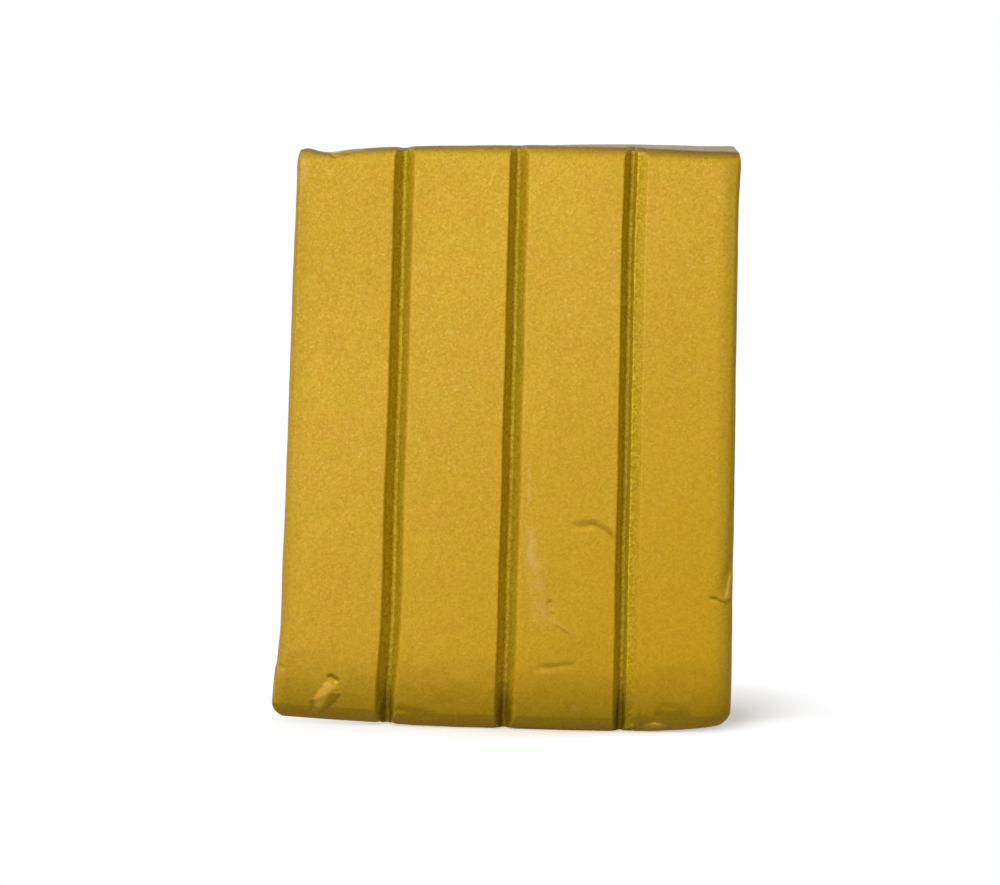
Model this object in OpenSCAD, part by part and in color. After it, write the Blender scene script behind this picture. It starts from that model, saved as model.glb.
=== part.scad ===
// Scored clay bar: one slab of soft pearlescent clay, pressed with three parallel scores that
// divide it into four sticks. The bar stands on its foot with the scored face towards -Y.
// X runs across the sticks, Y through the thickness and Z along the sticks.
// A stick is bent backwards about the line where its score meets the back of the bar, and the
// web of clay under the score cracks open from the front until the stick comes off.

/* [Bar] */
// Width of the bar across its four sticks
bar_w = 57; // [50:0.5:90]
// Height of the bar at its middle, which is the length of a stick
bar_h = 74.5; // [40:0.5:140]
// Thickness of the bar, from the scored face to the plain back
bar_t = 10.5; // [8:0.25:20]

/* [Scores] */
// Distance from one score to the next
score_pitch = 14.7; // [12:0.1:16]
// Width of a score where it opens on the face
score_w = 2.6; // [1.5:0.1:4]
// Width of the flat floor of a score
floor_w = 0.5; // [0.2:0.1:1]
// Depth of a score below the face
score_d = 2.8; // [1:0.1:4]
// Radius of the rolled lip on each side of a score
lip_r = 0.5; // [0.1:0.1:0.8]

/* [Ends] */
// Rise of the bowed top end from the sides of the bar to its middle
top_bow = 0.85; // [0.2:0.05:1.5]
// Drop of the bowed foot from the sides of the bar to its middle, as it is pressed
foot_bow = 0.9; // [0.2:0.05:1.5]
// How much of the foot's bow the weight of the bar has squashed flat
foot_squash = 0.15; // [0.05:0.05:0.3]

/* [Edges] */
// Radius of the four long edges
side_r = 1.8; // [0.5:0.1:3]
// Radius of the front and back edges at the top end
top_r = 1.6; // [0.5:0.1:3]
// Radius of the front and back edges at the foot
foot_r = 1.4; // [0.5:0.1:3]
// Radius of the two top corners, seen from the front
top_corner_r = 1.5; // [0.5:0.1:5]
// Radius of the two foot corners, seen from the front
foot_corner_r = 2.6; // [0.5:0.1:6]

/* [Hidden] */

$fn = 180;

// How far a cutting or enclosing shape reaches past the clay
clear = 5;
// Angle that the walls of a score lean away from square
wall_lean = atan((score_w - floor_w) / 2 / score_d);
// Middle line of each score, from left to right
score_x = [-score_pitch, 0, score_pitch];
// Planes that bound the four sticks: the two sides of the bar and its score lines
stick_bounds = concat([-bar_w / 2 - clear], score_x, [bar_w / 2 + clear]);

clay = [0.80, 0.62, 0.19];

function unit(angle) = [cos(angle), sin(angle)];

// Radius of the arc that a bowed end follows, from its rise over the width of the bar
function bow_radius(rise) = (pow(bar_w / 2, 2) + pow(rise, 2)) / (2 * rise);

// What a round-over takes off an outer corner: everything beyond an arc of radius r about
// centre, between the directions from_a and to_a in which the two flanks face.
module round_over(centre, r, from_a, to_a) {
    reach = 1.5 * r;
    mid_a = (from_a + to_a) / 2;
    translate(centre)
        difference() {
            polygon([
                [0, 0],
                reach * unit(from_a),
                reach / cos((to_a - from_a) / 2) * unit(mid_a),
                reach * unit(to_a)
            ]);
            circle(r);
        }
}

// One score seen end on, cut into a face that lies along y = 0 with the clay above it:
// a narrow trough with a flat floor, leaning walls and rolled lips.
module score_cut() {
    lip_x = score_w / 2 + lip_r * (1 - sin(wall_lean)) / cos(wall_lean);
    flare = tan(wall_lean) * clear;
    polygon([
        [-score_w / 2 - flare, -clear],
        [-floor_w / 2, score_d],
        [floor_w / 2, score_d],
        [score_w / 2 + flare, -clear]
    ]);
    round_over([lip_x, lip_r], lip_r, -180 + wall_lean, -90);
    round_over([-lip_x, lip_r], lip_r, -90, -wall_lean);
}

// Cross-section of the whole bar, seen from above: it is the same all the way along the sticks.
module bar_section() {
    edge_x = bar_w / 2 - side_r;
    edge_y = bar_t / 2 - side_r;
    difference() {
        square([bar_w, bar_t], center = true);
        for (x = score_x)
            translate([x, -bar_t / 2])
                score_cut();
        round_over([edge_x, edge_y], side_r, 0, 90);
        round_over([-edge_x, edge_y], side_r, 90, 180);
        round_over([-edge_x, -edge_y], side_r, 180, 270);
        round_over([edge_x, -edge_y], side_r, -90, 0);
    }
}

// What the two rounded corners of a bowed end take off, seen from the front. The end has its
// highest point at the origin and the clay below it, and each corner runs smoothly into the bow.
module corner_cuts(rise, corner_r) {
    bow_r = bow_radius(rise);
    x = bar_w / 2 - corner_r;
    y = sqrt(pow(bow_r - corner_r, 2) - pow(x, 2)) - bow_r;
    meet_a = atan2(y + bow_r, x);
    round_over([x, y], corner_r, 0, meet_a);
    round_over([-x, y], corner_r, 180 - meet_a, 180);
}

// Front outline of the bar: straight sides with rounded corners. The bowed slabs close its ends.
module front_outline() {
    difference() {
        translate([-bar_w / 2, -clear])
            square([bar_w, bar_h + 2 * clear]);
        translate([0, bar_h])
            corner_cuts(top_bow, top_corner_r);
        translate([0, -foot_squash])
            mirror([0, 1])
                corner_cuts(foot_bow, foot_corner_r);
    }
}

// Upright slab whose bowed end has its highest point at the origin. It is a slice of a very
// large ring, so that the rounded front and back edges follow the bow.
module bowed_slab(rise, edge_r) {
    bow_r = bow_radius(rise);
    inner_r = bow_r - bar_h - clear;
    half_a = atan((bar_w / 2 + clear) / (bow_r - bar_h));
    edge_y = bar_t / 2 - edge_r;
    translate([0, 0, -bow_r])
        rotate([90, 0, 0])
            rotate_extrude(angle = 2 * half_a, start = 90 - half_a)
                difference() {
                    translate([inner_r, -bar_t / 2])
                        square([bow_r - inner_r, bar_t]);
                    round_over([bow_r - edge_r, edge_y], edge_r, 0, 90);
                    round_over([bow_r - edge_r, -edge_y], edge_r, -90, 0);
                }
}

// The whole bar: its cross-section, its front outline and its two bowed ends, each drawn out
// through the others. The cross-section starts at the floor, which squashes the foot flat.
module bar() {
    intersection() {
        linear_extrude(bar_h + clear)
            bar_section();
        rotate([90, 0, 0])
            linear_extrude(bar_t + 2 * clear, center = true)
                front_outline();
        translate([0, 0, bar_h])
            bowed_slab(top_bow, top_r);
        translate([0, 0, -foot_squash])
            mirror([0, 0, 1])
                bowed_slab(foot_bow, foot_r);
    }
}

// One stick: the clay between two score lines. It meets its neighbour on the flat plane under
// the middle of the score, which is where the bar breaks.
module stick(number) {
    left = stick_bounds[number - 1];
    right = stick_bounds[number];
    color(clay)
        intersection() {
            bar();
            translate([left, -bar_t / 2 - clear, -clear])
                cube([right - left, bar_t + 2 * clear, bar_h + 2 * clear]);
        }
}

stick(1);  // stick_1
stick(2);  // stick_2
stick(3);  // stick_3
stick(4);  // stick_4
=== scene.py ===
from math import cos, pi, radians, sin

import bpy
import numpy as np
from mathutils import Matrix, Vector


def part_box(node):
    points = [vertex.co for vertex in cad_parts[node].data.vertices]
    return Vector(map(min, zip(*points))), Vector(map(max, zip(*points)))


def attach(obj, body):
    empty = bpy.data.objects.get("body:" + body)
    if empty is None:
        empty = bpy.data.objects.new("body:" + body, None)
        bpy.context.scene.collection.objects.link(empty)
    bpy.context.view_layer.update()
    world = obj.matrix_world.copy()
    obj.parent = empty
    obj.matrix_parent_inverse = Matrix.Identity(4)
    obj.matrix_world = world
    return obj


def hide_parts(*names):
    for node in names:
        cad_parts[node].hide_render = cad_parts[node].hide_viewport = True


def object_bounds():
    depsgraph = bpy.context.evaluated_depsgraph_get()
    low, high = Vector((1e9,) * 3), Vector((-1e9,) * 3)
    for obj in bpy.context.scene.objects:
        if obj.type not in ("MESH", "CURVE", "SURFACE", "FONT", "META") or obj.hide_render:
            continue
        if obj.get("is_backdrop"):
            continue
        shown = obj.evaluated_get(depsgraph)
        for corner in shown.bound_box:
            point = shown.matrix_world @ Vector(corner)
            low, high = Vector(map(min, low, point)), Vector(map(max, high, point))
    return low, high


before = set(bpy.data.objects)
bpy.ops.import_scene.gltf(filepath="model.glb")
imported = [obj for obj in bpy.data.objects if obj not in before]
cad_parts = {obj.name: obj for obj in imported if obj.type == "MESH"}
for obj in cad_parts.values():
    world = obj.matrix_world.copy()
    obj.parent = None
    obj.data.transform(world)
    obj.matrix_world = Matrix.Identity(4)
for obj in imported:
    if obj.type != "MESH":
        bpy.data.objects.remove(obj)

cad_low, cad_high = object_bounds()


# The camera: a long lens in front of the scored face, a hand's breadth above the table, looking
# slightly down and turned a little about its own axis.
mm = 0.001
look_at = Vector((-1.4, 0, 36.58)) * mm
camera_distance = 380 * mm
camera_rise = radians(4)
camera_roll = radians(1.3)
film_width = 36             # mm
focal_length = 106.4        # mm

camera = bpy.data.objects.new("camera", bpy.data.cameras.new("camera"))
camera.data.sensor_width = film_width
camera.data.lens = focal_length
camera.data.clip_start = 10 * mm
camera.location = look_at + camera_distance * Vector((0, -cos(camera_rise), sin(camera_rise)))
turn = Matrix.Rotation(pi / 2 - camera_rise, 3, "X") @ Matrix.Rotation(camera_roll, 3, "Z")
camera.rotation_euler = turn.to_euler()
bpy.context.scene.collection.objects.link(camera)
bpy.context.scene.camera = camera


# The clay: soft vinyl modelling clay, filled with gold mica and pressed in a smooth mould. The
# platelets lie flat in a pressed face, which is bright and pearly there. Where the clay turns
# away, at lips, edges and walls, they stand on end and it goes dark and olive.
# On top of that, some light and shade are painted into its colour: a sheen that fades from the upper
# left,
# glints, shade on the right side, long edges, foot, score feet and top front edge, and a reflection
# on the cut end.

def paint(hex_colour):
    """A colour written as sRGB hex, as the linear colour that shaders take."""
    channels = [int(hex_colour[at:at + 2], 16) / 255 for at in (1, 3, 5)]
    return [c / 12.92 if c <= 0.04045 else ((c + 0.055) / 1.055) ** 2.4 for c in channels] + [1]


def add(tree, kind, inputs=(), **settings):
    """Adds a node with its settings, and gives its inputs their values or links, by place or name."""
    node = tree.nodes.new(kind)
    for name, value in settings.items():
        setattr(node, name, value)
    pairs = inputs.items() if isinstance(inputs, dict) else enumerate(inputs)
    for key, value in pairs:
        source = value.outputs[0] if isinstance(value, bpy.types.Node) else value
        if isinstance(source, bpy.types.NodeSocket):
            tree.links.new(source, node.inputs[key])
        else:
            node.inputs[key].default_value = source
    return node


pearl_gold = paint("#DAAD30")       # mica lying flat in a pressed face, with the painted sheen of the light in it
rosy_gold = paint("#DCA137")        # patches where the mica catches warmer
green_gold = paint("#D0B230")       # patches where it catches greener
unsheened_gold = paint("#D0A112")        # painted sheen: deeper gold towards the lower right, away from the light
wall_olive = paint("#CCAE1A")       # mica drawn along the walls of a score
floor_olive = paint("#BEA323")      # and along its floor
right_side_shade = paint("#B89010")        # painted shade where the right side of the bar turns away from the light
shade_gold = paint("#B6931C")        # painted shade along its long edges, most of all on the right, and in patches on its face
rolled_gold = paint("#BA9410")      # where the face rolls over to the top end
top_shade_left = paint("#8F7530")        # painted shade along the sharp top front edge of the cut, on the left
top_shade_right = paint("#795B1C")       # and darker on the right
end_reflection_grey = paint("#A38A5A")         # painted reflection: the cut end, where it faces straight up, painted pale grey for the pale room it mirrors
foot_shade = paint("#9A7B08")       # painted shade where the face curls under at the foot
foot_edge = paint("#AD8620")        # and on its edge below, which faces the table, a little less dark
score_foot_shade = paint("#8A6F10")      # painted shade where a score meets the table
torn_clay = paint("#A5822B")        # dull inside of the clay, where it is torn
pale_smear_and_highlight = paint("#F2C47A")       # clay rubbed over the face by a finger, and painted highlights on ridges, flakes and edges
painted_glint = paint("#F0CC70")            # a painted glint: a platelet painted pale, as if it faced the light
platelet_size = 0.26 * mm           # drawn as coarse as it needs to show, as real ones are finer
patch_size = 5 * mm                 # how far one tone of the mica runs
patch_strength = 0.22
blotch_size = 2 * mm                # and how far one spot of the smears and painted highlights does
sheen_fall_way = (0.6, 0, -0.8)         # the way in which the painted sheen fades, away from the light at the upper left
sheen_start = -40 * mm              # where along it the painted sheen begins to fade
sheen_end = 12 * mm
sparkle_start = -67 * mm            # and where the sparkle does
sparkle_end = 12 * mm
sparkle_in_sheen = 0.185               # how much one platelet differs from the next in brightness, where the painted sheen lies
sparkle_past_sheen = 0.13               # and towards the lower right, past the painted sheen
score_sparkle = 0.40                # and in a score
mean_platelet = 0.99                # brightness of the middle one
green_power = 1.4                   # its green goes with this power of that brightness
blue_power = 3.0                    # and its blue with this one, as bright platelets are whiter
glint_start = 0.84                  # the share of the platelets that get no painted glint
glint_strength = 0.26
top_shade_start = 8 * mm                 # how far to the right the painted shade along the top edge grows darker
top_shade_end = 20 * mm
score_shade_start = 6.5 * mm              # how high up in a score the painted shade begins
score_shade_end = 1.5 * mm                # and below which it is darkest
rough_mica = 0.50                   # roughness of a platelet that faces away from the light
smooth_mica = 0.42                  # and of one that faces it
rough_tear = 0.75

clay = bpy.data.materials.new("pearlescent mica-filled vinyl clay")
clay.use_nodes = True
tree = clay.node_tree
tree.nodes.clear()
place = add(tree, "ShaderNodeTexCoord")
spot = place.outputs["Object"]
turned = add(tree, "ShaderNodeSeparateXYZ", (place.outputs["Normal"],)).outputs
under = add(tree, "ShaderNodeMath", (0.0, turned["Z"]), operation="SUBTRACT")
edge_and_patch_shade = add(tree, "ShaderNodeAttribute", attribute_name="edge_and_patch_shade").outputs["Fac"]
scored = add(tree, "ShaderNodeAttribute", attribute_name="scored").outputs["Fac"]
spot_x, _, spot_z = add(tree, "ShaderNodeSeparateXYZ", (spot,)).outputs
high_up = add(tree, "ShaderNodeMath", (spot_z, 0.5 * cad_high.z), operation="GREATER_THAN")
upward = add(tree, "ShaderNodeMath", (turned["Z"], high_up), operation="MULTIPLY")
up_facing_end = add(tree, "ShaderNodeMapRange", (scored, 0.10, 0.40, 1.0, 0.0))
up_facing_end = add(tree, "ShaderNodeMath", (upward, up_facing_end), operation="MULTIPLY")
# Painted sheen: how far a point lies towards the lower right, away from the light
past_sheen = add(tree, "ShaderNodeVectorMath", (spot, sheen_fall_way), operation="DOT_PRODUCT")
patches = add(
    tree, "ShaderNodeTexNoise",
    {"Vector": spot, "Scale": 1 / patch_size, "Detail": 3, "Roughness": 0.6},
)
cells = add(
    tree, "ShaderNodeTexVoronoi", {"Vector": spot, "Scale": 1 / platelet_size, "Randomness": 1.0},
)
luck = add(tree, "ShaderNodeSeparateXYZ", (cells.outputs["Color"],)).outputs
# Painted glints: a few platelets, at random, are painted pale as if they caught the light
glint_share = add(
    tree, "ShaderNodeMapRange", (luck["X"], glint_start, 1.0, 0.0, glint_strength),
)
tone = add(tree, "ShaderNodeMapRange", (patches, 0.38, 0.62))
skin = add(tree, "ShaderNodeMix", {0: tone, 6: green_gold, 7: rosy_gold}, data_type="RGBA")
skin = add(
    tree, "ShaderNodeMix", {0: patch_strength, 6: pearl_gold, 7: skin.outputs[2]},
    data_type="RGBA",
)
skin = add(
    tree, "ShaderNodeMix", {0: glint_share, 6: skin.outputs[2], 7: painted_glint}, data_type="RGBA",
)
top_shade_to_right = add(tree, "ShaderNodeMapRange", (spot_x, top_shade_start, top_shade_end))
low_down = add(tree, "ShaderNodeMapRange", (spot_z, score_shade_start, score_shade_end))
score_foot_share = add(tree, "ShaderNodeMath", (scored, low_down), operation="MULTIPLY")
top_edge_shade = add(tree, "ShaderNodeMix", {0: top_shade_to_right, 6: top_shade_left, 7: top_shade_right}, data_type="RGBA")

# What changes the colour of the mica, from and to which amount, and to which colour
for amount, start, end, colour in (
    # painted sheen, fading towards the lower right
    (past_sheen.outputs["Value"], sheen_start, sheen_end, unsheened_gold),
    # painted shade on the right side, along the long edges and in patches
    (turned["X"], 0.20, 0.85, right_side_shade), (edge_and_patch_shade, 0.0, 1.0, shade_gold),
    (scored, 0.02, 0.40, wall_olive), (scored, 0.60, 0.95, floor_olive),
    # painted shade where the face turns down at the foot
    (under, 0.04, 0.27, foot_shade), (under, 0.30, 0.75, foot_edge),
    # painted shade at the foot of each score
    (score_foot_share, 0.02, 0.60, score_foot_shade),
    # painted shade along the sharp top front edge
    (upward, 0.02, 0.40, rolled_gold), (upward, 0.35, 0.85, top_edge_shade.outputs[2]),
    # painted reflection on the cut end
    (up_facing_end, 0.86, 0.93, end_reflection_grey),
):
    share = add(tree, "ShaderNodeMapRange", (amount, start, end))
    skin = add(
        tree, "ShaderNodeMix", {0: share, 6: skin.outputs[2], 7: colour}, data_type="RGBA",
    )

# The sparkle: each platelet has its own brightness, and the brighter ones are whiter. The difference
# fades along with the painted sheen.
sparkle = add(
    tree, "ShaderNodeMapRange",
    (past_sheen.outputs["Value"], sparkle_start, sparkle_end, sparkle_in_sheen, sparkle_past_sheen),
)
in_score = add(tree, "ShaderNodeMapRange", (scored, 0.0, 0.3))
sparkle = add(tree, "ShaderNodeMix", {0: in_score, 2: sparkle, 3: score_sparkle})
platelet = add(tree, "ShaderNodeMath", (luck["Y"], 0.5), operation="SUBTRACT")
platelet = add(
    tree, "ShaderNodeMath", (platelet, sparkle, mean_platelet), operation="MULTIPLY_ADD",
)
greenish = add(tree, "ShaderNodeMapRange", (luck["Z"], 0.0, 1.0, 0.98, 1.02))
green = add(tree, "ShaderNodeMath", (platelet, green_power), operation="POWER")
green = add(tree, "ShaderNodeMath", (green, greenish), operation="MULTIPLY")
blue = add(tree, "ShaderNodeMath", (platelet, blue_power), operation="POWER")
tint = add(tree, "ShaderNodeCombineXYZ", (platelet, green, blue))
skin = add(
    tree, "ShaderNodeMix", {0: 1.0, 6: skin.outputs[2], 7: tint},
    data_type="RGBA", blend_type="MULTIPLY",
)

# Smears and painted highlights, and torn clay, lie over the mica, and the torn clay is dull
smear_and_highlight = add(tree, "ShaderNodeAttribute", attribute_name="smear_and_highlight").outputs["Fac"]
blotches = add(tree, "ShaderNodeTexNoise", {"Vector": spot, "Scale": 1 / blotch_size, "Detail": 3})
blotches = add(tree, "ShaderNodeMapRange", (blotches, 0.35, 0.60, 0.4, 1.2))
smear_and_highlight = add(tree, "ShaderNodeMath", (smear_and_highlight, blotches), operation="MULTIPLY", use_clamp=True)
torn = add(tree, "ShaderNodeAttribute", attribute_name="torn").outputs["Fac"]
for share, colour in ((smear_and_highlight, pale_smear_and_highlight), (torn, torn_clay)):
    skin = add(
        tree, "ShaderNodeMix", {0: share, 6: skin.outputs[2], 7: colour}, data_type="RGBA",
    )
rough = add(tree, "ShaderNodeMapRange", (luck["X"], 0.0, 1.0, rough_mica, smooth_mica))
rough = add(tree, "ShaderNodeMix", {0: torn, 2: rough, 3: rough_tear})
grain = add(
    tree, "ShaderNodeBump",
    {"Height": cells.outputs["Distance"], "Strength": 0.10, "Distance": 0.05 * mm},
)
shader = add(
    tree, "ShaderNodeBsdfPrincipled",
    {"Base Color": skin.outputs[2], "Roughness": rough, "Normal": grain,
     "Metallic": 0.12, "IOR": 1.5, "Specular IOR Level": 0.12},
)
add(tree, "ShaderNodeOutputMaterial", (shader,))


# The four sticks: one block of clay, pressed with three scores on its face. Each stick is the
# clay between two score lines, and meets its neighbour in the web under the score, where the
# clay tears when a stick is snapped off. Each is a net of points laid over the stick's box,
# rounded, scored and bowed by the tree below.
left_wall = (1.37, 1.20, 1.08)      # mm, how far the left wall of each score opens from its seam
left_lip = (0.4, 0.4, 0.6)          # mm, and how softly its lip rolls over
right_wall = (1.05, 1.16, 0.70)     # mm, the same for its right wall
right_lip = (1.1, 1.1, 0.5)         # mm
right_bevel = (0, 0, 0.90)          # mm, depth of the worn bevel that the last one has beyond it
bevel_width = 1.22 * mm
score_d = (2.3, 2.35, 2.3)          # mm, depth of the floor of each score below the face
floor_w = 0.5 * mm                  # and width of that floor
floor_roll = 0.35 * mm              # how softly it meets the walls
lip_swell = 1.6                     # how much softer the lips are at the top of a score
swell_reach = 2.6 * mm              # how far from the top that begins
foot_round = (1.7 * mm, 1.4 * mm, 2.0 * mm)     # half-axes of the rounded corners at the foot
top_round = (0.5 * mm, 1.4 * mm, 1.8 * mm)      # and at the top
foot_curl = 1.40 * mm               # how far the face curls under towards the foot
curl_reach = 11 * mm
curl_power = 2.0
top_bow = 0.83 * mm                 # fall of the top end from its middle to its sides
foot_bow = 1.00 * mm                # and rise of the foot
foot_squash = 0.15 * mm             # how much of that its own weight has squashed flat
net = {"Vertices X": 90, "Vertices Y": 24, "Vertices Z": 400}
crowding = (0.40, 0.30, 0.30)       # how much closer the net's points lie near its edges
edge_share = 0.001                  # this near a side of the stick, a point lies in its torn face
tear_depth = 1.1 * mm               # roughness of a torn web
tear_grain = 2.2 * mm
tear_fade_through = 4.0             # how late it dies away towards the face and the back
tear_fade_up = 60.0                 # and towards the ends
straight_reach = 3 * mm             # how far from a hinge line the waves die away
wave_height = 0.16 * mm             # slow waves in a soft face, and how far apart they lie
wave_length = 14 * mm
ripple_height = 0.035 * mm          # finer unevenness left by the fingers
ripple_length = 3.2 * mm

tree = bpy.data.node_groups.new("pressed stick", "GeometryNodeTree")
for name, kind in (
    ("Left", "Float"), ("Right", "Float"), ("Low", "Vector"), ("High", "Vector"),
    ("Left Depth", "Float"), ("Left Half", "Float"), ("Left Lip", "Float"),
    ("Right Depth", "Float"), ("Right Half", "Float"), ("Right Lip", "Float"),
    ("Left Bevel", "Float"), ("Bevel Width", "Float"),
    ("Floor Width", "Float"), ("Floor Roll", "Float"),
    ("Lip Swell", "Float"), ("Swell Reach", "Float"),
    ("Foot Round", "Vector"), ("Top Round", "Vector"),
    ("Foot Curl", "Float"), ("Curl Reach", "Float"),
    ("Top Bow", "Float"), ("Foot Bow", "Float"), ("Foot Squash", "Float"),
    ("Tear Depth", "Float"), ("Tear Grain", "Float"), ("Straight Reach", "Float"),
    ("Wave Height", "Float"), ("Wave Length", "Float"),
    ("Ripple Height", "Float"), ("Ripple Length", "Float"), ("Clay", "Material"),
):
    tree.interface.new_socket(name, in_out="INPUT", socket_type="NodeSocket" + kind)
tree.interface.new_socket("Stick", in_out="OUTPUT", socket_type="NodeSocketGeometry")
size = add(tree, "NodeGroupInput").outputs

# Each point's share of the way across, through and up the stick, from 0 to 1
box = add(tree, "GeometryNodeMeshCube", {"Size": (1, 1, 1), **net})
spot = add(tree, "GeometryNodeInputPosition")
even = add(tree, "ShaderNodeVectorMath", (spot, (0.5, 0.5, 0.5)), operation="ADD")
wave = add(tree, "ShaderNodeVectorMath", (even, (2 * pi,) * 3), operation="MULTIPLY")
wave = add(tree, "ShaderNodeVectorMath", (wave,), operation="SINE")
crowd = tuple(-amount / (2 * pi) for amount in crowding)
share = add(tree, "ShaderNodeVectorMath", (wave, crowd, even), operation="MULTIPLY_ADD")
across, through, up = add(tree, "ShaderNodeSeparateXYZ", (share,)).outputs

# The stick's own box, and how much of each edge is rounded off: none along a score
low = add(tree, "ShaderNodeSeparateXYZ", (size["Low"],)).outputs
high = add(tree, "ShaderNodeSeparateXYZ", (size["High"],)).outputs
low_corner = add(tree, "ShaderNodeCombineXYZ", (size["Left"], low["Y"], low["Z"]))
high_corner = add(tree, "ShaderNodeCombineXYZ", (size["Right"], high["Y"], high["Z"]))
point = add(
    tree, "ShaderNodeMix", {0: share, 4: low_corner, 5: high_corner},
    data_type="VECTOR", factor_mode="NON_UNIFORM",
)
tree.links.new(share.outputs[0], point.inputs[1])
rounding = add(
    tree, "ShaderNodeMix", {0: up, 4: size["Foot Round"], 5: size["Top Round"]},
    data_type="VECTOR",
)
round_x, round_y, round_z = add(tree, "ShaderNodeSeparateXYZ", (rounding.outputs[1],)).outputs
right_half = add(tree, "ShaderNodeMath", (across, 0.5), operation="GREATER_THAN")
scored = add(tree, "ShaderNodeMix", {0: right_half, 2: size["Left Depth"], 3: size["Right Depth"]})
scored = add(tree, "ShaderNodeMath", (scored, 0.0), operation="GREATER_THAN")
round_x = add(tree, "ShaderNodeMix", {0: scored, 2: round_x, 3: -1.0})
rounding = add(tree, "ShaderNodeCombineXYZ", (round_x, round_y, round_z))
core_low = add(tree, "ShaderNodeVectorMath", (low_corner, rounding), operation="ADD")
core_high = add(tree, "ShaderNodeVectorMath", (high_corner, rounding), operation="SUBTRACT")
core = add(tree, "ShaderNodeVectorMath", (point.outputs[1], core_low), operation="MAXIMUM")
core = add(tree, "ShaderNodeVectorMath", (core, core_high), operation="MINIMUM")
reach = add(tree, "ShaderNodeVectorMath", (point.outputs[1], core), operation="SUBTRACT")
outward = add(tree, "ShaderNodeVectorMath", (reach, rounding), operation="DIVIDE")
length = add(tree, "ShaderNodeVectorMath", (outward,), operation="LENGTH")
outward = add(tree, "ShaderNodeVectorMath", (outward,), operation="ABSOLUTE")
out_x, out_y, out_z = add(tree, "ShaderNodeSeparateXYZ", (outward,)).outputs
widest = add(tree, "ShaderNodeMath", (out_x, out_y), operation="MAXIMUM")
widest = add(tree, "ShaderNodeMath", (widest, out_z), operation="MAXIMUM")
pull = add(tree, "ShaderNodeMath", (widest, length.outputs["Value"]), operation="DIVIDE")
rounded = add(tree, "ShaderNodeVectorMath", (reach, pull, core), operation="MULTIPLY_ADD")
x, y, z = add(tree, "ShaderNodeSeparateXYZ", (rounded,)).outputs

# How deep the face lies below the flat: the two scores, with lips that are softer at the top,
# and the curl of the face towards the foot
from_top = add(tree, "ShaderNodeMath", (high["Z"], z), operation="SUBTRACT")
softer = add(
    tree, "ShaderNodeMapRange", (from_top, 0.0, size["Swell Reach"], size["Lip Swell"], 1.0),
    interpolation_type="SMOOTHSTEP",
)
floor_half = add(tree, "ShaderNodeMath", (size["Floor Width"], 0.5), operation="MULTIPLY")
depth = 0.0
deepest = 0.0
from_seam = 1.0
for seam, bevel_depth in (("Left", size["Left Bevel"]), ("Right", 0.0)):
    aside = add(tree, "ShaderNodeMath", (x, size[seam]), operation="SUBTRACT")
    aside = add(tree, "ShaderNodeMath", (aside,), operation="ABSOLUTE")
    floor_depth = size[seam + " Depth"]
    lip = add(tree, "ShaderNodeMath", (size[seam + " Lip"], softer), operation="MULTIPLY")
    wall = add(
        tree, "ShaderNodeMapRange",
        (aside, floor_half, size[seam + " Half"], floor_depth, 0.0), clamp=False,
    )
    wall = add(tree, "ShaderNodeMath", (wall, 0.0, lip), operation="SMOOTH_MAX")
    bevel_end = add(tree, "ShaderNodeMath", (size[seam + " Half"], size["Bevel Width"]))
    bevel = add(
        tree, "ShaderNodeMapRange", (aside, size[seam + " Half"], bevel_end, bevel_depth, 0.0),
    )
    wall = add(tree, "ShaderNodeMath", (wall, bevel), operation="MAXIMUM")
    trough = add(
        tree, "ShaderNodeMath", (wall, floor_depth, size["Floor Roll"]), operation="SMOOTH_MIN",
    )
    is_scored = add(tree, "ShaderNodeMath", (floor_depth, 0.0), operation="GREATER_THAN")
    trough = add(tree, "ShaderNodeMath", (trough, is_scored), operation="MULTIPLY")
    depth = add(tree, "ShaderNodeMath", (depth, trough), operation="MAXIMUM")
    from_seam = add(tree, "ShaderNodeMath", (from_seam, aside), operation="MINIMUM")
    deepest = add(tree, "ShaderNodeMath", (deepest, floor_depth), operation="MAXIMUM")
in_score = add(tree, "ShaderNodeMath", (depth, deepest), operation="DIVIDE")
_, flat_y, flat_z = add(tree, "ShaderNodeSeparateXYZ", (point.outputs[1],)).outputs
already = add(tree, "ShaderNodeMath", (y, flat_y), operation="SUBTRACT")
further = add(tree, "ShaderNodeMath", (depth, already), operation="SUBTRACT")
further = add(tree, "ShaderNodeMath", (further, 0.0), operation="MAXIMUM")
curl = add(tree, "ShaderNodeMapRange", (z, 0.0, size["Curl Reach"], 1.0, 0.0))
curl = add(tree, "ShaderNodeMath", (curl, curl_power), operation="POWER")
further = add(
    tree, "ShaderNodeMath", (curl, size["Foot Curl"], further), operation="MULTIPLY_ADD",
)
frontness = add(tree, "ShaderNodeMath", (1.0, through), operation="SUBTRACT")
y = add(tree, "ShaderNodeMath", (further, frontness, y), operation="MULTIPLY_ADD")

# A score runs right down to the floor, past the rounded front edge of the foot
square_foot = add(tree, "ShaderNodeMapRange", (in_score, 0.2, 0.7))
square_foot = add(tree, "ShaderNodeMix", {0: up, 2: square_foot, 3: 0.0})
z = add(tree, "ShaderNodeMix", {0: square_foot, 2: z, 3: flat_z})

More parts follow.
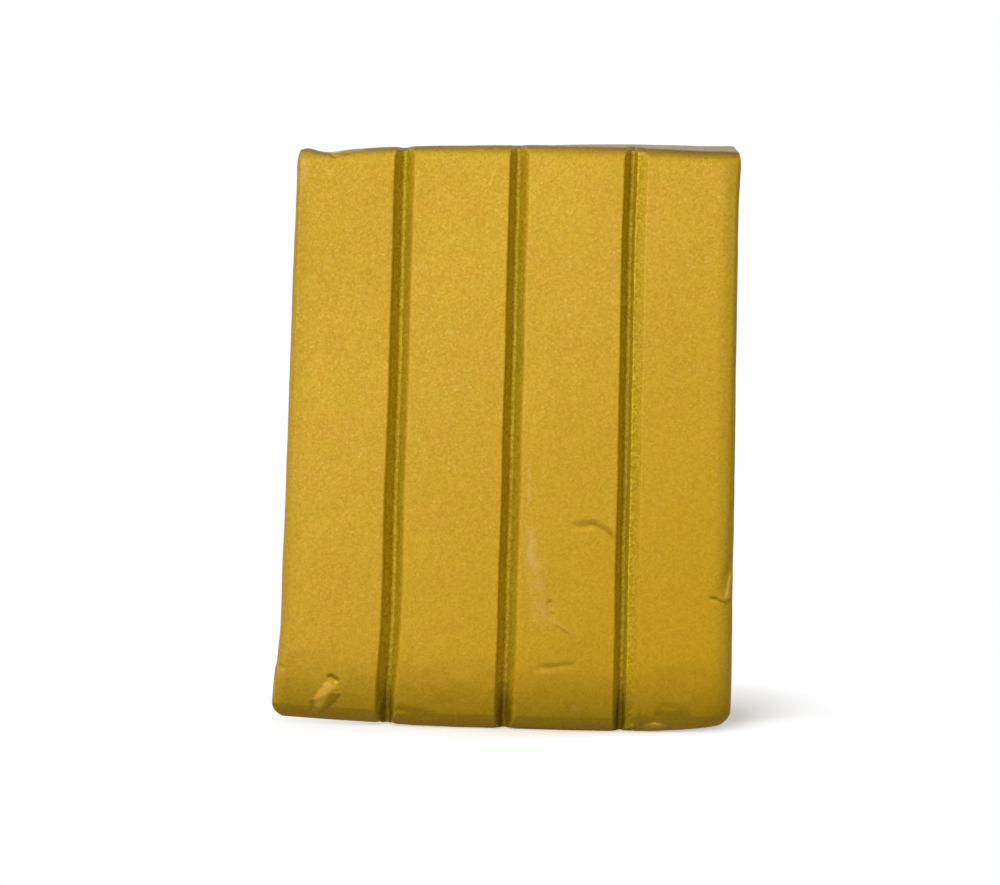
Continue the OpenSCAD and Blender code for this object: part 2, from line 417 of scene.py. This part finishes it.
# The bowed ends: the top falls and the foot rises towards the sides of the bar
side = add(tree, "ShaderNodeMath", (x, high["X"]), operation="DIVIDE")
side = add(tree, "ShaderNodeMath", (side, 2.0), operation="POWER")
squash = add(tree, "ShaderNodeMath", (0.0, size["Foot Squash"]), operation="SUBTRACT")
foot_rise = add(
    tree, "ShaderNodeMath", (side, size["Foot Bow"], squash), operation="MULTIPLY_ADD",
)
foot_rise = add(tree, "ShaderNodeMath", (foot_rise, 0.0), operation="MAXIMUM")
top_drop = add(tree, "ShaderNodeMath", (side, size["Top Bow"]), operation="MULTIPLY")
top_drop = add(tree, "ShaderNodeMath", (0.0, top_drop), operation="SUBTRACT")
bow = add(tree, "ShaderNodeMix", {0: up, 2: foot_rise, 3: top_drop})
z = add(tree, "ShaderNodeMath", (z, bow), operation="ADD")

# The web where this stick tears from its neighbour: rough, and true again at its borders. Both
# neighbours read the same noise at the same seam, so their torn faces fit each other.
at_left = add(tree, "ShaderNodeMath", (across, edge_share), operation="LESS_THAN")
at_left = add(tree, "ShaderNodeMath", (at_left, scored), operation="MULTIPLY")
at_right = add(tree, "ShaderNodeMath", (across, 1 - edge_share), operation="GREATER_THAN")
at_right = add(tree, "ShaderNodeMath", (at_right, scored), operation="MULTIPLY")
web = add(tree, "ShaderNodeMath", (at_left, at_right), operation="ADD")
for way, power in ((through, tear_fade_through), (up, tear_fade_up)):
    border = add(tree, "ShaderNodeMath", (way, 2.0, -1.0), operation="MULTIPLY_ADD")
    border = add(tree, "ShaderNodeMath", (border,), operation="ABSOLUTE")
    border = add(tree, "ShaderNodeMath", (border, power), operation="POWER")
    inner = add(tree, "ShaderNodeMath", (1.0, border), operation="SUBTRACT")
    web = add(tree, "ShaderNodeMath", (web, inner), operation="MULTIPLY")
web = add(tree, "ShaderNodeMath", (web, 2.0), operation="POWER")
smooth_point = add(tree, "ShaderNodeCombineXYZ", (x, y, z))
tear_scale = add(tree, "ShaderNodeMath", (1.0, size["Tear Grain"]), operation="DIVIDE")
tear = add(
    tree, "ShaderNodeTexNoise",
    {"Vector": smooth_point, "Scale": tear_scale, "Detail": 4, "Roughness": 0.62},
)
tear = add(tree, "ShaderNodeMath", (tear, 0.5), operation="SUBTRACT")
tear = add(tree, "ShaderNodeMath", (tear, size["Tear Depth"]), operation="MULTIPLY")
x = add(tree, "ShaderNodeMath", (tear, web, x), operation="MULTIPLY_ADD")

# Waves and ripples all over, but for the line at the back where the web bends
behind = add(tree, "ShaderNodeMath", (high["Y"], y), operation="SUBTRACT")
from_hinge = add(tree, "ShaderNodeCombineXYZ", (from_seam, behind))
from_hinge = add(tree, "ShaderNodeVectorMath", (from_hinge,), operation="LENGTH").outputs["Value"]
wavy = add(
    tree, "ShaderNodeMapRange", (from_hinge, 0.0, size["Straight Reach"]),
    interpolation_type="SMOOTHSTEP",
)
point = add(tree, "ShaderNodeCombineXYZ", (x, y, z))
shaped = point
for swell in ("Wave", "Ripple"):
    height = add(tree, "ShaderNodeMath", (size[swell + " Height"], 2.0), operation="MULTIPLY")
    scale = add(tree, "ShaderNodeMath", (1.0, size[swell + " Length"]), operation="DIVIDE")
    noise = add(tree, "ShaderNodeTexNoise", {"Vector": point, "Scale": scale, "Detail": 1})
    lift = add(
        tree, "ShaderNodeVectorMath", (noise.outputs["Color"], (0.5,) * 3), operation="SUBTRACT",
    )
    lift = add(tree, "ShaderNodeVectorMath", {0: lift, "Scale": wavy}, operation="SCALE")
    shaped = add(
        tree, "ShaderNodeVectorMath", (lift, height, shaped), operation="MULTIPLY_ADD",
    )

# The finished net, marked where it is scored and where it is torn
at_front = add(tree, "ShaderNodeMapRange", (through, 0.0, 0.2, 1.0, 0.0))
in_score = add(tree, "ShaderNodeMath", (in_score, at_front), operation="MULTIPLY")
marked = box
for name, value in (("torn", web), ("scored", in_score)):
    marked = add(
        tree, "GeometryNodeStoreNamedAttribute", {"Geometry": marked, "Name": name, "Value": value},
    )
moved = add(tree, "GeometryNodeSetPosition", {"Geometry": marked, "Position": shaped})
smooth = add(tree, "GeometryNodeSetShadeSmooth", {"Geometry": moved})
whole = add(tree, "GeometryNodeRealizeInstances", {"Geometry": smooth})
clad = add(tree, "GeometryNodeSetMaterial", {"Geometry": whole, "Material": size["Clay"]})
add(tree, "NodeGroupOutput", (clad,))

# What happened to the soft block after the press: it spread a little towards the foot, leaned,
# and its top end was cut out of square. Hinge lines at the back stay straight, where it bends. A
# side is a share of the way from the middle of the bar to its right side, or the left if below 0.
spread = 1.18 * mm          # how much wider the foot is than the top
lean = 0.17 * mm            # how far the top leans to the right
flare = 0.70 * mm           # how far the left corner of the foot bulges out
flare_reach = 14 * mm       # from how high up, and from which side
flare_side = 0.5
kink = 0.18 * mm            # how far its front edge steps out beyond that
kink_start = 8.2 * mm       # from and to how high up, and from which side
kink_end = 6.7 * mm
kink_side = -0.80
score_drift = 0.13 * mm     # how far the press drew the scores to the right at the face
score_squeeze = 0.30 * mm   # and towards the middle of the bar
top_slant = 0.50 * mm       # rise of the top end from middle to right
foot_slant = -0.25 * mm     # and of the foot
crown = 0.15 * mm           # rise of the middle of the top end
back_drop = -0.60 * mm      # how far the wire dipped at the back on the left
back_rise = 1.35 * mm       # how far it climbed there on the right
front_rise = -0.18 * mm     # and at the front, on the right
climb_side = -0.45          # and from which side it did so
cut_reach = 3 * mm          # how far down the slant of the cut is felt
corner_lift = 0.70 * mm     # how far the right corner of the foot is pushed up
lift_reach = 5 * mm         # from how high up, and from which side
lift_side = 0.6
corner_pull = 0.20 * mm     # how far it is pushed inwards
pull_reach = 4 * mm
pull_side = 0.75
ear = 0.25 * mm             # how far the right corner of the top stands out, and up
ear_reach = 12 * mm
ear_side = 0.8
shade_on_left = 0.25            # how much painted shade darkens its long edges
shade_on_right = 0.85
edge_shade_start = 0.90           # and from and to which side that grows
edge_shade_end = 0.97
# Patches of painted shade on its face: middle from the middle of the foot, reach across and up, in
# mm, and how much
shade_patches = (((-24, 70), (16, 22), 0.28), ((8.5, 4), (5, 9), 0.30))
sharp_edge = radians(50)    # an edge that turns by more than this stays crisp
half_w = cad_high.x
bar_h = cad_high.z
bar_t = cad_high.y - cad_low.y
inner_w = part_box("stick_4")[0].x


def ramp(value, start, end):
    """0 before start and 1 after end, with a smooth step between."""
    share = np.clip((value - start) / (end - start), 0, 1)
    return share * share * (3 - 2 * share)


def settle(points):
    """Moves points of the fresh block to where they lie in the handled one."""
    x, y, z = points.T
    height = z / bar_h
    side = x / half_w
    front = np.clip((cad_high.y - y) / bar_t, 0, 1)
    outer = np.clip((np.abs(x) - inner_w) / (half_w - inner_w), 0, 1)
    free = 1 - (1 - outer) * (1 - front)
    bulge = flare * ramp(-z, -flare_reach, 0) * np.clip((flare_side - side) / (flare_side + 1), 0, 1)
    bulge += kink * ramp(-z, -kink_start, -kink_end) * ramp(-side, -kink_side, 1) * front
    shift = (height - 0.5) * (lean - spread * side) - bulge
    shift += ear * ramp(z, bar_h - ear_reach, bar_h) * np.clip(side, 0, 1)
    shift -= corner_pull * ramp(side, pull_side, 1) * ramp(-z, -pull_reach, 0)
    drift = (score_drift - score_squeeze * side) * front * (1 - outer)
    right = np.clip((side - climb_side) / (1 - climb_side), 0, 1)
    rise = front_rise * right * front + (back_drop + (back_rise - back_drop) * right) * (1 - front)
    rise += ear * ramp(side, ear_side, 1)
    cut = rise * ramp(z, bar_h - cut_reach, bar_h)
    tilt = side * (top_slant * height + foot_slant * (1 - height))
    tilt += crown * (1 - side ** 2) * height
    corner = np.clip((side - lift_side) / (1 - lift_side), 0, 1) ** 3
    lift = corner_lift * corner * ramp(-z, -lift_reach, 0)
    return np.stack([x + free * shift + drift, y, z + tilt + cut + lift], axis=1)


# Marks of handling on the face, in mm from the middle of the foot. A crease is a path with its
# reach to the left of its run, its reach to the right and its depth.
creases = (
    (
        ((7.5, 26.3), (9.3, 26.3), (10.6, 26.5), (12.0, 25.8), (13.4, 24.6), (14.4, 23.6)),
        0.65, 0.22, 0.155,
    ),
    (((5.6, 16.9), (5.3, 16.4), (5.8, 15.7)), 0.30, 0.36, 0.13),
    (((5.2, 15.3), (6.2, 15.0)), 0.35, 0.55, 0.07),
    (((6.0, 14.2), (7.0, 13.6), (8.2, 12.8)), 0.24, 0.20, -0.08),
    (((8.9, 12.0), (9.5, 11.6)), 0.20, 0.20, -0.05),
    (((3.8, 8.3), (5.5, 8.2), (7.0, 8.5), (9.0, 8.7)), 0.46, 0.34, 0.085),
    (((-22.7, 6.5), (-22.1, 6.3), (-21.5, 5.7)), 0.28, 0.24, 0.26),
    (((-24.7, 3.3), (-24.6, 2.2), (-24.0, 1.7)), 0.24, 0.20, 0.16),
    (((-14.8, 1.7), (-13.4, 2.3), (-11.2, 1.8), (-8.2, 1.2)), 0.50, 0.50, 0.07),
    (((16.2, 1.5), (17.4, 1.0), (18.6, 1.3)), 0.80, 0.80, 0.13),
    (((18.9, 2.2), (20.9, 1.8), (23.9, 2.0)), 1.10, 1.10, 0.15),
    (((19.6, 3.5), (22.2, 3.4)), 0.50, 0.40, 0.03),
    (((22.8, 2.4), (23.6, 1.8), (24.4, 1.9)), 0.50, 0.50, 0.05),
    (((25.4, 17.6), (26.6, 17.4), (27.6, 16.9), (28.1, 16.4)), 0.34, 0.22, 0.16),
    (((27.5, 17.6), (27.75, 18.8), (28.15, 21.2), (28.6, 23.4)), 0.62, 0.34, 0.28),
    (((28.4, 22.0), (28.8, 26.4), (29.1, 30.0)), 0.90, 0.30, 0.36),
    (((27.9, 47.4), (28.6, 46.8)), 0.20, 0.20, 0.16),
    (((-28.9, 7.9), (-28.2, 7.3)), 0.25, 0.25, 0.09),
    (((-23.7, 73.1), (-22.9, 72.4)), 0.18, 0.18, 0.24),
    (((-22.4, 73.0), (-20.6, 73.2)), 0.18, 0.24, 0.08),
)
# A chip is a fan of facets round a centre: place and lift of the centre, then of its rim
chips = (
    ((-22.5, 4.4, 0.34), (
        (-23.3, 5.0, 0.08), (-23.1, 5.6, 0.05), (-22.6, 5.8, 0.08), (-22.1, 5.4, 0.26),
        (-21.4, 4.9, 0.18), (-21.3, 4.2, 0.16), (-21.8, 3.4, 0.10), (-22.8, 2.5, 0.22),
        (-23.7, 1.9, 0.20), (-24.4, 2.4, 0.04), (-24.5, 3.4, 0.03), (-23.9, 4.3, 0.05),
    )),
    ((19.2, 0.8, 0.26), (
        (17.7, 0.5, 0.10), (18.1, 1.1, 0.04), (19.2, 1.4, 0.03), (20.1, 1.1, 0.05),
        (20.8, 0.7, 0.08), (20.4, 0.2, 0.26), (18.4, 0.1, 0.34),
    )),
    ((28.4, 18.9, 0.13), (
        (27.9, 18.6, 0.05), (28.1, 19.8, 0.10), (28.4, 21.0, 0.03), (28.8, 20.2, 0.12),
        (28.9, 18.2, 0.08), (28.3, 17.4, 0.12), (27.8, 17.7, 0.05),
    )),
)
# Where clay has been rubbed over the face, and where highlights are painted on ridges, flakes and
# edges: path, half-width and strength
smears_and_highlights = (
    (((2.7, 25.6), (2.9, 22.6), (3.1, 19.2)), 0.60, 0.34),
    (((3.4, 21.2), (3.8, 18.8)), 0.95, 0.32),
    (((3.9, 17.8), (4.4, 15.0)), 1.30, 0.10),
    (((-27.0, 72.2), (-26.8, 70.8), (-27.0, 69.3)), 0.50, 0.18),
    (((-23.3, 73.6), (-21.8, 73.8), (-19.8, 74.0)), 0.45, 0.90),
    (((2.4, 33.6), (2.5, 29.4)), 0.16, 0.26),
    (((8.7, 3.1), (9.5, 2.8)), 0.35, 0.16),
    (((-23.0, 5.4), (-22.4, 5.2)), 0.40, 0.30),
    (((-23.2, 4.6), (-23.9, 3.4), (-24.1, 2.6)), 0.45, 0.16),
    (((6.1, 14.3), (7.1, 13.7), (8.2, 12.9)), 0.20, 0.22),
    (((4.6, 7.8), (6.2, 7.8)), 0.25, 0.12),
    (((18.3, 0.7), (19.4, 0.9), (20.3, 0.7)), 0.45, 0.28),
    (((21.0, 0.4), (22.8, 0.5)), 0.40, 0.22),
    (((-28.7, 7.1), (-28.2, 6.8)), 0.30, 0.20),
    (((15.0, 74.0), (15.6, 73.9)), 0.30, 0.25),
    (((28.1, 18.2), (28.4, 20.4)), 0.50, 0.14),
)
# The burr that the wire raised at the left of the top end, and the dip beside it: place from the
# middle of the bar, reach and height, in mm
burrs = ((-26.6, 1.2, 0.55), (-23.6, 1.6, -0.25))
burr_start = 72.4           # mm, from and to how high up it grows
burr_end = 73.6
burr_back = -2.0            # mm in front of the middle of the bar, where it begins
mark_back = 0.5             # where the marks of handling begin
mark_front = 3.0            # where both are whole, and the smears and painted highlights begin
pale_front = 4.4           # and where they are whole


def along(x, z, path):
    """How far points lie from a path, on which side of it, and at what share of its run."""
    nearest = np.full(len(x), np.inf)
    side = np.zeros(len(x))
    share = np.zeros(len(x))
    for step, (start, end) in enumerate(zip(path, path[1:])):
        run_x, run_z = end[0] - start[0], end[1] - start[1]
        met = ((x - start[0]) * run_x + (z - start[1]) * run_z) / (run_x ** 2 + run_z ** 2)
        met = np.clip(met, 0, 1)
        off_x, off_z = x - start[0] - met * run_x, z - start[1] - met * run_z
        off = np.hypot(off_x, off_z)
        closer = off < nearest
        nearest[closer] = off[closer]
        side[closer] = np.sign(run_x * off_z - run_z * off_x)[closer]
        share[closer] = (step + met[closer]) / (len(path) - 1)
    return nearest, side, share


def mark(points):
    """Presses the marks of handling into the face, and says how much each point is painted pale, by
    smears and by painted highlights.
    """
    x, y, z = points.T / mm
    facing = ramp(-y, mark_back, mark_front)
    in_face = ramp(-y, mark_front, pale_front)
    sunk = np.zeros(len(x))
    for path, reach_left, reach_right, depth in creases:
        off, side, share = along(x, z, path)
        reach = np.where(side > 0, reach_left, reach_right)
        sunk += depth * np.exp(-(off / reach) ** 2) * (1 - (2 * share - 1) ** 4)
    for (mid_x, mid_z, mid_lift), rim in chips:
        for start, end in zip(rim, rim[1:] + rim[:1]):
            run_x = (start[0] - mid_x, end[0] - mid_x)
            run_z = (start[1] - mid_z, end[1] - mid_z)
            u, v = np.linalg.solve(np.array([run_x, run_z]), np.stack([x - mid_x, z - mid_z]))
            inside = (u >= 0) & (v >= 0) & (u + v <= 1)
            lift = mid_lift + u * (start[2] - mid_lift) + v * (end[2] - mid_lift)
            sunk -= np.where(inside, lift, 0)
    paled = np.zeros(len(x))
    for path, reach, strength in smears_and_highlights:
        off, side, share = along(x, z, path)
        paled = np.maximum(paled, strength * np.exp(-(off / reach) ** 2))
    burr = sum(height * np.exp(-((x - middle) / reach) ** 2) for middle, reach, height in burrs)
    z = z + burr * ramp(z, burr_start, burr_end) * ramp(-y, burr_back, mark_front)
    return np.stack([x, y + sunk * facing, z], axis=1) * mm, paled * in_face


for number in (1, 2, 3, 4):
    node = f"stick_{number}"
    left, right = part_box(node)[0].x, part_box(node)[1].x
    stick = bpy.data.objects.new(f"clay_{node}", bpy.data.meshes.new(node))
    bpy.context.scene.collection.objects.link(stick)
    press = stick.modifiers.new("press", "NODES")
    press.node_group = bpy.data.node_groups["pressed stick"]
    # On its left it has the right wall of one score, and on its right the left wall of the next
    before = max(number - 2, 0)
    after = min(number - 1, 2)
    values = {
        "Left": left, "Right": right, "Low": cad_low, "High": cad_high,
        "Left Depth": score_d[before] * mm * (number > 1),
        "Left Half": right_wall[before] * mm, "Left Lip": right_lip[before] * mm,
        "Right Depth": score_d[after] * mm * (number < 4),
        "Right Half": left_wall[after] * mm, "Right Lip": left_lip[after] * mm,
        "Left Bevel": right_bevel[before] * mm, "Bevel Width": bevel_width,
        "Floor Width": floor_w, "Floor Roll": floor_roll,
        "Lip Swell": lip_swell, "Swell Reach": swell_reach,
        "Foot Round": foot_round, "Top Round": top_round,
        "Foot Curl": foot_curl, "Curl Reach": curl_reach,
        "Top Bow": top_bow, "Foot Bow": foot_bow, "Foot Squash": foot_squash,
        "Tear Depth": tear_depth, "Tear Grain": tear_grain, "Straight Reach": straight_reach,
        "Wave Height": wave_height, "Wave Length": wave_length,
        "Ripple Height": ripple_height, "Ripple Length": ripple_length, "Clay": clay,
    }
    for socket in press.node_group.interface.items_tree:
        if socket.name in values:
            press[socket.identifier] = values[socket.name]
    shaped = stick.evaluated_get(bpy.context.evaluated_depsgraph_get())
    mesh = bpy.data.meshes.new_from_object(shaped)
    stick.modifiers.remove(press)
    stick.data = mesh
    points = np.empty(3 * len(mesh.vertices))
    mesh.vertices.foreach_get("co", points)
    points = points.reshape(-1, 3)
    # Painted shade along the long edges and in patches on the face
    side = points[:, 0] / half_w
    edge_and_patch_shade = shade_on_right * ramp(side, edge_shade_start, edge_shade_end)
    edge_and_patch_shade += shade_on_left * ramp(-side, edge_shade_start, edge_shade_end)
    for (mid_x, mid_z), (reach_x, reach_z), strength in shade_patches:
        off_x, off_z = points[:, 0] / mm - mid_x, points[:, 2] / mm - mid_z
        edge_and_patch_shade += strength * np.exp(-(off_x / reach_x) ** 2 - (off_z / reach_z) ** 2)
    points, paled = mark(settle(points))
    points[:, 2] = np.maximum(points[:, 2], 0)
    mesh.vertices.foreach_set("co", points.ravel())
    mesh.attributes.new("smear_and_highlight", "FLOAT", "POINT").data.foreach_set("value", paled)
    mesh.attributes.new("edge_and_patch_shade", "FLOAT", "POINT").data.foreach_set("value", edge_and_patch_shade)
    mesh.set_sharp_from_angle(angle=sharp_edge)
    mesh.update()
    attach(stick, node)
    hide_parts(node)


# The table: a plain white sweep that keeps the bar's shadow. It shows white to the camera and in
# reflections, and gives back only part of the light that falls on it.
table_size = 3.0            # m, from the bar to each of its sides
shadow_start = Vector((31, 14, 0)) * mm         # right of and behind here its shadow fades
shadow_end = Vector((46, 42, 1000)) * mm        # and here it is gone
contact_start = Vector((10, -5, 0)) * mm        # left and in front of here it fades as well
contact_end = Vector((-33, -12.5, -1000)) * mm
corner_way = (0.5, -0.87, 0)                    # and this way, past the right corner of the foot
corner_start = 8.5 * mm                         # from and to how far out
corner_end = 17 * mm
seen_paper = 1.4            # brighter than white, so that only the shadow shows on it


def seen_directly(tree):
    """1 on rays from the camera, from mirrors and from glass, and 0 on all others."""
    path = add(tree, "ShaderNodeLightPath").outputs
    seen = add(
        tree, "ShaderNodeMath", (path["Is Camera Ray"], path["Is Glossy Ray"]),
        operation="MAXIMUM",
    )
    return add(tree, "ShaderNodeMath", (seen, path["Is Transmission Ray"]), operation="MAXIMUM")


white_sweep = bpy.data.materials.new("matt white paper")
white_sweep.use_nodes = True
tree = white_sweep.node_tree
tree.nodes.clear()
place = add(tree, "ShaderNodeTexCoord")
fading = (0, 0, 0)
for start, end in ((shadow_start, shadow_end), (contact_start, contact_end)):
    gone = add(
        tree, "ShaderNodeMapRange", {6: place.outputs["Object"], 7: start, 8: end},
        data_type="FLOAT_VECTOR",
    )
    fading = add(tree, "ShaderNodeVectorMath", (gone.outputs["Vector"], fading), operation="ADD")
far = add(tree, "ShaderNodeVectorMath", (fading,), operation="LENGTH").outputs["Value"]
past = add(
    tree, "ShaderNodeVectorMath", (place.outputs["Object"], corner_way), operation="DOT_PRODUCT",
)
past = add(tree, "ShaderNodeMapRange", (past.outputs["Value"], corner_start, corner_end))
far = add(tree, "ShaderNodeMath", (far, past), operation="ADD", use_clamp=True)
near_paper = add(
    tree, "ShaderNodeBsdfDiffuse", {"Color": (seen_paper, seen_paper, seen_paper, 1)},
)
far_paper = add(tree, "ShaderNodeEmission", {"Color": (1, 1, 1, 1), "Strength": 1.0})
shown = add(tree, "ShaderNodeMixShader", (far, near_paper, far_paper))
bounced = add(tree, "ShaderNodeBsdfDiffuse", {"Color": paint("#8A8A8A")})
mixed = add(tree, "ShaderNodeMixShader", (seen_directly(tree), bounced, shown))
add(tree, "ShaderNodeOutputMaterial", (mixed,))

corners = [(sx * table_size, sy * table_size, 0) for sx, sy in ((-1, -1), (1, -1), (1, 1), (-1, 1))]
table = bpy.data.objects.new("table", bpy.data.meshes.new("table"))
table.data.from_pydata(corners, [], [(0, 1, 2, 3)])
table.data.materials.append(white_sweep)
bpy.context.scene.collection.objects.link(table)
table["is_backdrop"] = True


# The light: two softboxes in front and to the left, the smaller one high up, and the pale room
# all round.
room_level = 0.45           # its light on the clay, where the white that the camera sees is 1

room = bpy.data.worlds.new("room")
room.use_nodes = True
tree = room.node_tree
tree.nodes.clear()
level = add(tree, "ShaderNodeMapRange", (seen_directly(tree), 0.0, 1.0, room_level, 1.0))
sky = add(tree, "ShaderNodeBackground", {"Color": (1, 1, 1, 1), "Strength": level})
add(tree, "ShaderNodeOutputWorld", (sky,))
bpy.context.scene.world = room

# Name, width, power in watts and place of each softbox
for name, width, power, place in (
    ("high softbox", 110 * mm, 0.306, Vector((-72, -240, 300)) * mm),
    ("front softbox", 260 * mm, 0.725, Vector((-140, -400, 150)) * mm),
):
    lamp = bpy.data.objects.new(name, bpy.data.lights.new(name, "AREA"))
    lamp.data.shape = "SQUARE"
    lamp.data.size = width
    lamp.data.energy = power
    lamp.location = place
    lamp.rotation_euler = (Vector((0, 0, bar_h / 2)) - place).to_track_quat("-Z", "Y").to_euler()
    bpy.context.scene.collection.objects.link(lamp)

bpy.context.scene.view_settings.view_transform = "Standard"

low_corner, high_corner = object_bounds()
